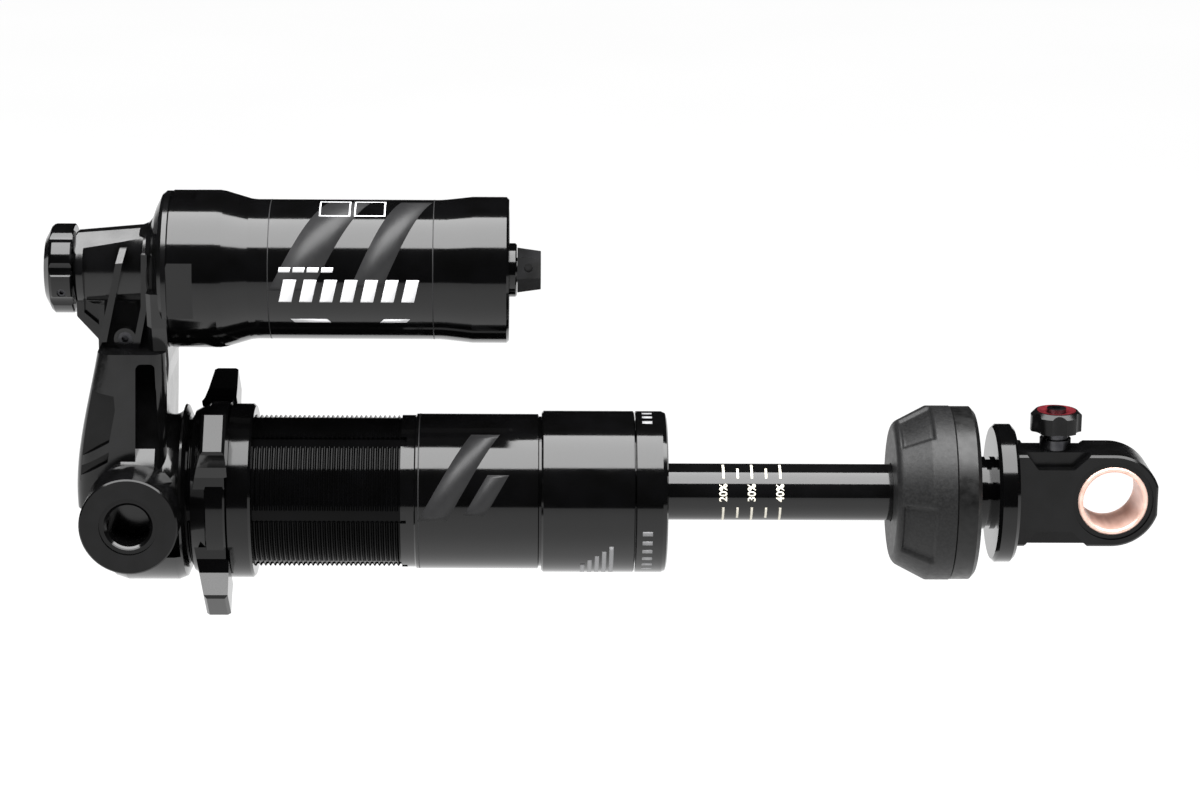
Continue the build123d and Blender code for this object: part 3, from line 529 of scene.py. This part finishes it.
def bumper():
    """Cone of foam with four shallow recesses; it flattens against its cup."""
    low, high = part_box("bumper")
    cup_r = outer_radius("bumper")
    recess_from = cup_r - NOSE_STEP - RECESS_REACH
    angles = [360 * j / BUMPER_TURNS for j in range(BUMPER_TURNS)]
    turns = [math.radians(angle) for angle in angles]
    bm = bmesh.new()

    def loop(x, radii):
        return [bm.verts.new((x, -r * math.sin(turn), r * math.cos(turn))) for r, turn in zip(radii, turns)]

    loops = []
    for x, r in bumper_profile(low.x, high.x, cup_r):
        if r > recess_from:
            loops.append(loop(x, [r - recess_depth(x - low.x, angle) for angle in angles]))
        else:
            loops.append(loop(x, [r] * BUMPER_TURNS))
    loops.append(loop(high.x, [BUMPER_BORE_R] * BUMPER_TURNS))
    for i, here in enumerate(loops):
        after = loops[(i + 1) % len(loops)]
        for j in range(BUMPER_TURNS):
            k = (j + 1) % BUMPER_TURNS
            bm.faces.new((here[j], here[k], after[k], after[j]))
    piece = add_piece("bumper_cone", bm, FOAM, "bumper")
    piece.data.set_sharp_from_angle(angle=math.radians(60))
    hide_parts("bumper")
    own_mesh(piece)


bumper()


# ---- printed bars on the body and the reservoir ----


BODY_R = 16.4 * MM
BODY_MARKS_X = -146.4 * MM
RISING_COUNT = 5
RISING_START = 8.2 * MM  # from the sleeve's head end
RISING_STEP = 1.5 * MM
RISING_WIDTH = 0.9 * MM
RISING_TOP, RISING_BOTTOM, RISING_LIFT = 136, 160, 5  # degrees; each bar's top is that much higher
DASH_GAP = 1.6 * MM  # from the sleeve's end
DASH_LENGTH = 2.1 * MM
DASH_HEIGHT, DASH_PITCH = 3.5, 8  # degrees
CAN_R = 14.5 * MM
CAN_MARKS = (-176.9 * MM, -143.0 * MM)


def row_of_bars(x0, x1, count, fill, a0, a1, slant):
    """Equal slanted bars that fill that share of the way from x0 to x1."""
    step = (x1 - x0) / count
    return [bar(x0 + step * i, x0 + step * (i + fill), a0, a1, slant) for i in range(count)]


def column_of_dashes(x, first, count):
    """Short dashes along X, one below the other from that angle."""
    starts = [first + DASH_PITCH * i for i in range(count)]
    return [bar(x, x + DASH_LENGTH, start, start + DASH_HEIGHT) for start in starts]


def frame_outline(x0, x1, a0, a1, line, turn):
    """Four thin bars round a rectangle; line is their width along X and turn round the can."""
    return [bar(x0, x0 + line, a0, a1), bar(x1 - line, x1, a0, a1),
            bar(x0 + line, x1 - line, a0, a0 + turn), bar(x0 + line, x1 - line, a1 - turn, a1)]


def body_marks():
    """Two wide slanted bars and a thin ring line on the body, tone on tone."""
    x = BODY_MARKS_X
    bars = [
        bar(x, x + 6 * MM, 96, 28, 11 * MM),
        bar(x + 9.5 * MM, x + 14 * MM, 92, 62, 5 * MM),
        bar(x, x + 0.25 * MM, 168, -20),
    ]
    printed("body_bars", bars, BODY_R, 0.0, INK_GREY, "damper")


def sleeve_marks():
    """A rising row of pale bars low on the sleeve, and dashes round the end cap."""
    left, right = x_range("lower_sleeve")
    sleeve_r = outer_radius("lower_sleeve")
    rising = []
    for i in range(RISING_COUNT):
        x = left + RISING_START + i * RISING_STEP
        rising.append(bar(x, x + RISING_WIDTH, RISING_TOP - RISING_LIFT * i, RISING_BOTTOM))
    printed("sleeve_bars", rising, sleeve_r, 0.0, INK_PALE, "damper")
    cap_x = right + DASH_GAP
    dashes = column_of_dashes(cap_x, 103, 6) + column_of_dashes(cap_x, -2, 3)
    printed("cap_dashes", dashes, sleeve_r, 0.0, INK_PALE, "damper")


def can_marks():
    """Wide slanted bars on the reservoir, tone on tone, and light ones where small print would be."""
    first, last = CAN_MARKS
    wide = [
        bar(first + 0.25 * MM, first + 9 * MM, 95, 5, 12 * MM),
        bar(first + 17 * MM, first + 23.5 * MM, 92, 5, 10 * MM),
        bar(first, first + 0.22 * MM, 168, -25),
        bar(last - 0.22 * MM, last, 168, -25),
    ]
    printed("can_bars", wide, CAN_R, CAN_AXIS, INK_GREY, "damper")
    light = row_of_bars(-174.6 * MM, -145.4 * MM, 7, 0.62, 105, 86, 1.1 * MM)
    light += row_of_bars(-174.6 * MM, -163 * MM, 4, 0.8, 80, 76, 0.2 * MM)
    light.append(bar(-171.5 * MM, -164 * MM, 126, 122, -0.8 * MM))
    light.append(bar(-154 * MM, -148.6 * MM, 126, 122, 0.8 * MM))
    light += frame_outline(-166.6 * MM, -160.2 * MM, 4, 29, 0.3 * MM, 1.2)
    light += frame_outline(-159.4 * MM, -153.0 * MM, 4, 29, 0.3 * MM, 1.2)
    printed("can_light_bars", light, CAN_R, CAN_AXIS, INK_WHITE, "damper", TOP_INK_FILM)


body_marks()
sleeve_marks()
can_marks()


# ---- studio ----


FLOOR_Z = -0.3
FLOOR_X, FLOOR_FRONT, FLOOR_BACK = 4, -2.2, 6
FLOOR_GLOW = 0.9
SOFTBOX_SIZE = (1.8, 0.97)
SOFTBOX_PLACE = (-0.1, -0.293, 0.9)
SOFTBOX_ENERGY = 66
MIRRORED_SURROUNDINGS = (0.004, 0.004, 0.0045, 1)


def glowing_floor():
    """White acrylic lit from below, so that black gloss mirrors an even white."""
    made = Finish("floor", roughness=0.8)
    made.colour((0.11, 0.11, 0.11), (0.12, 0.12, 0.12), 0.3)
    made.shader.inputs["Emission Color"].default_value = (1, 1, 1, 1)
    made.shader.inputs["Emission Strength"].default_value = FLOOR_GLOW
    return made.material


def add_floor():
    bm = bmesh.new()
    corners = [(-FLOOR_X, FLOOR_FRONT), (FLOOR_X, FLOOR_FRONT), (FLOOR_X, FLOOR_BACK), (-FLOOR_X, FLOOR_BACK)]
    bm.faces.new([bm.verts.new((x, y, 0)) for x, y in corners])
    mesh = bpy.data.meshes.new("floor")
    bm.to_mesh(mesh)
    bm.free()
    floor = bpy.data.objects.new("floor", mesh)
    floor.location.z = FLOOR_Z
    bpy.context.scene.collection.objects.link(floor)
    paint(floor, glowing_floor())


def add_softbox():
    """One long softbox overhead, a little in front, pointing down."""
    lamp = bpy.data.lights.new("softbox", "AREA")
    lamp.shape = "RECTANGLE"
    lamp.size, lamp.size_y = SOFTBOX_SIZE
    lamp.energy = SOFTBOX_ENERGY
    box = bpy.data.objects.new("softbox", lamp)
    box.location = SOFTBOX_PLACE
    bpy.context.scene.collection.objects.link(box)


def add_surroundings():
    """White surroundings that gloss does not mirror."""
    world = bpy.data.worlds.new("studio")
    bpy.context.scene.world = world
    world.use_nodes = True
    tree = world.node_tree
    ways = tree.nodes.new("ShaderNodeLightPath")
    mix = tree.nodes.new("ShaderNodeMixShader")
    dark = tree.nodes.new("ShaderNodeBackground")
    dark.inputs["Color"].default_value = MIRRORED_SURROUNDINGS
    pale = tree.nodes["Background"]
    pale.inputs["Color"].default_value = (1, 1, 1, 1)
    tree.links.new(ways.outputs["Is Glossy Ray"], mix.inputs["Fac"])
    tree.links.new(pale.outputs["Background"], mix.inputs[1])
    tree.links.new(dark.outputs["Background"], mix.inputs[2])
    tree.links.new(mix.outputs["Shader"], tree.nodes["World Output"].inputs["Surface"])


add_floor()
add_softbox()
add_surroundings()
bpy.context.scene.view_settings.view_transform = "Standard"
